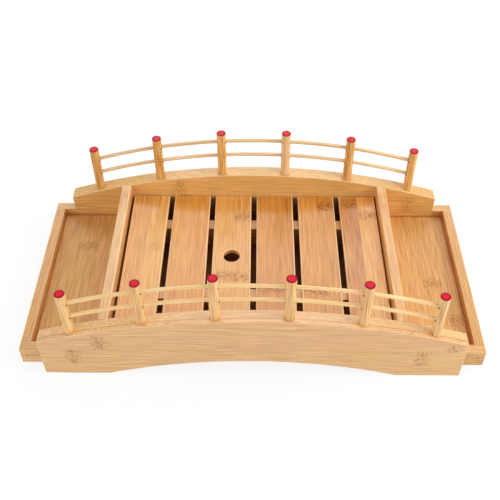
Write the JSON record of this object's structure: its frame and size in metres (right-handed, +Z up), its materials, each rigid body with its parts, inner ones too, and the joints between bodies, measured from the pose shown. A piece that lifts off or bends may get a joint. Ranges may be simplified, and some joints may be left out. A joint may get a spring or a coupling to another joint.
{
  "type": "sushi bridge",
  "caption": "Arched bamboo serving bridge with railings, an open tray at each end and a lift-out slatted rack over a space for ice.",
  "frame": {"origin": "on the table, under the middle of the bridge", "axes": "+X along the bridge to the right of the picture, +Y away from the viewer, +Z up"},
  "size_m": [0.42, 0.203, 0.1256],
  "materials": {
    "bamboo_beam": "sanded and thinly lacquered, grain along the beam",
    "bamboo_board": "sanded and thinly lacquered, grain across the bridge",
    "bamboo_slat": "sanded and thinly lacquered, grain along the slat",
    "bamboo_dowel": "turned smooth, tops of the posts painted red"
  },
  "bodies": {
    "bridge": {"front_beam": "bamboo_beam", "rear_beam": "bamboo_beam", "floor_board": "bamboo_board", "left_end_rail": "bamboo_board", "right_end_rail": "bamboo_board", "front_left_side_rail": "bamboo_board", "front_right_side_rail": "bamboo_board", "rear_left_side_rail": "bamboo_board", "rear_right_side_rail": "bamboo_board", "left_partition": "bamboo_board", "right_partition": "bamboo_board", "front_post_1": "bamboo_dowel", "front_post_2": "bamboo_dowel", "front_post_3": "bamboo_dowel", "front_post_4": "bamboo_dowel", "front_post_5": "bamboo_dowel", "front_post_6": "bamboo_dowel", "rear_post_1": "bamboo_dowel", "rear_post_2": "bamboo_dowel", "rear_post_3": "bamboo_dowel", "rear_post_4": "bamboo_dowel", "rear_post_5": "bamboo_dowel", "rear_post_6": "bamboo_dowel", "front_upper_rod": "bamboo_dowel", "front_lower_rod": "bamboo_dowel", "rear_upper_rod": "bamboo_dowel", "rear_lower_rod": "bamboo_dowel"},
    "rack": {"slat_1": "bamboo_slat", "slat_2": "bamboo_slat", "slat_3": "bamboo_slat", "slat_4": "bamboo_slat", "slat_5": "bamboo_slat", "slat_6": "bamboo_slat", "front_batten": "bamboo_slat", "rear_batten": "bamboo_slat"}
  },
  "joints": [
    {"name": "rack_lift", "type": "slide", "parent": "bridge", "child": "rack", "axis": [0, 0, 1], "range_m": [0, 0.11]}
  ]
}
